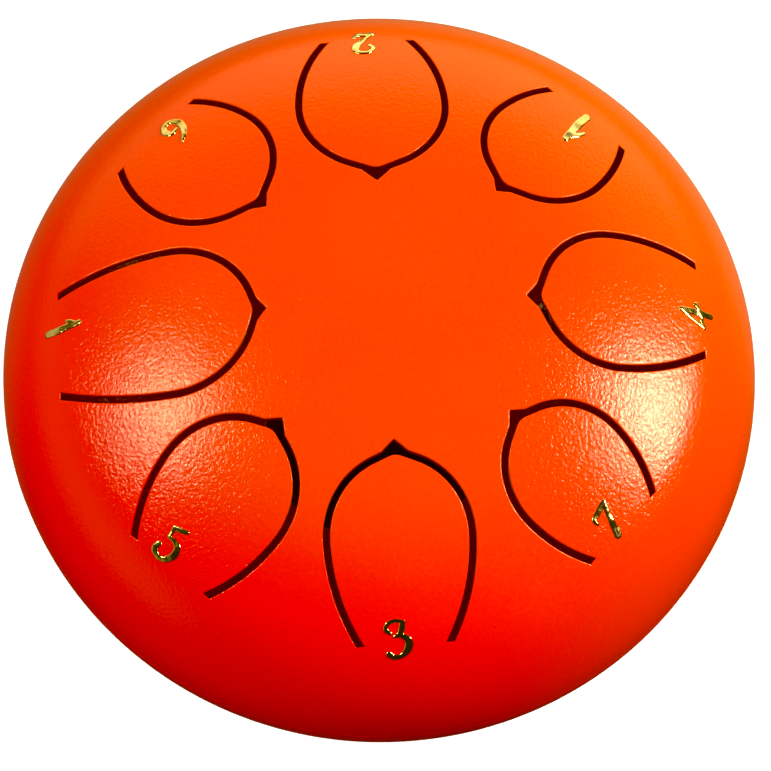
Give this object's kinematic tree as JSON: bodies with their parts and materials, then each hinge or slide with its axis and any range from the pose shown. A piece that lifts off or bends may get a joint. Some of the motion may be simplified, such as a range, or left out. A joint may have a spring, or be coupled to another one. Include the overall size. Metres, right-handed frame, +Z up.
{
  "type": "steel tongue drum",
  "caption": "Small round steel tongue drum: two welded orange domes, cut tongues on top with raised gold numerals, a sound port underneath and screwed rubber feet.",
  "frame": {"origin": "centre of the plane that the three feet stand on, on the drum's axis", "axes": "+Z up along the drum's axis; tongue 3, the player's side, points along -Y and tongue 4 along +X"},
  "size_m": [0.1551, 0.155, 0.0864],
  "materials": {
    "enamel": "semi-gloss orange powder coat with a fine wrinkle",
    "foil": "mirror-bright gold foil",
    "foot_rubber": "matt moulded rubber",
    "zinc": "bright zinc plate"
  },
  "bodies": {
    "drum": {"upper_shell": "enamel", "lower_shell": "enamel", "waist_weld": "enamel", "numeral_1": "foil", "numeral_2": "foil", "numeral_3": "foil", "numeral_4": "foil", "numeral_5": "foil", "numeral_6": "foil", "numeral_7": "foil", "numeral_high_1": "foil", "foot_1": "foot_rubber", "foot_2": "foot_rubber", "foot_3": "foot_rubber", "foot_screws": "zinc", "foot_washers": "zinc", "foot_nuts": "zinc"},
    "tongue_1": {"tongue_1": "enamel"},
    "tongue_2": {"tongue_2": "enamel"},
    "tongue_3": {"tongue_3": "enamel"},
    "tongue_4": {"tongue_4": "enamel"},
    "tongue_5": {"tongue_5": "enamel"},
    "tongue_6": {"tongue_6": "enamel"},
    "tongue_7": {"tongue_7": "enamel"},
    "tongue_high_1": {"tongue_high_1": "enamel"}
  },
  "joints": [
    {"name": "tongue_1_flex", "type": "hinge", "parent": "drum", "child": "tongue_1", "pos_m": [-0.05341, 0.00047, 0.0735], "axis": [-0.0087, -1, 0], "range_deg": [-0.8, 0.8], "stiffness_Nm_per_rad": 0.5, "springref_deg": 0.11},
    {"name": "tongue_2_flex", "type": "hinge", "parent": "drum", "child": "tongue_2", "pos_m": [0.00085, 0.05379, 0.07332], "axis": [-0.9999, 0.0157, 0], "range_deg": [-0.8, 0.8], "stiffness_Nm_per_rad": 0.5, "springref_deg": 0.08},
    {"name": "tongue_3_flex", "type": "hinge", "parent": "drum", "child": "tongue_3", "pos_m": [0.00029, -0.0552, 0.07265], "axis": [1, 0.0052, 0], "range_deg": [-0.8, 0.8], "stiffness_Nm_per_rad": 0.5, "springref_deg": 0.08},
    {"name": "tongue_4_flex", "type": "hinge", "parent": "drum", "child": "tongue_4", "pos_m": [0.05468, 0.00067, 0.0729], "axis": [-0.0122, 0.9999, 0], "range_deg": [-0.8, 0.8], "stiffness_Nm_per_rad": 0.5, "springref_deg": 0.07},
    {"name": "tongue_5_flex", "type": "hinge", "parent": "drum", "child": "tongue_5", "pos_m": [-0.03841, -0.04019, 0.07245], "axis": [0.723, -0.6909, 0], "range_deg": [-0.8, 0.8], "stiffness_Nm_per_rad": 0.5, "springref_deg": 0.06},
    {"name": "tongue_6_flex", "type": "hinge", "parent": "drum", "child": "tongue_6", "pos_m": [-0.03765, 0.03872, 0.07322], "axis": [-0.7169, -0.6972, 0], "range_deg": [-0.8, 0.8], "stiffness_Nm_per_rad": 0.5, "springref_deg": 0.05},
    {"name": "tongue_7_flex", "type": "hinge", "parent": "drum", "child": "tongue_7", "pos_m": [0.03892, -0.03865, 0.07282], "axis": [0.7046, 0.7096, 0], "range_deg": [-0.8, 0.8], "stiffness_Nm_per_rad": 0.5, "springref_deg": 0.05},
    {"name": "tongue_high_1_flex", "type": "hinge", "parent": "drum", "child": "tongue_high_1", "pos_m": [0.03811, 0.03719, 0.07358], "axis": [-0.6984, 0.7157, 0], "range_deg": [-0.8, 0.8], "stiffness_Nm_per_rad": 0.5, "springref_deg": 0.03}
  ]
}
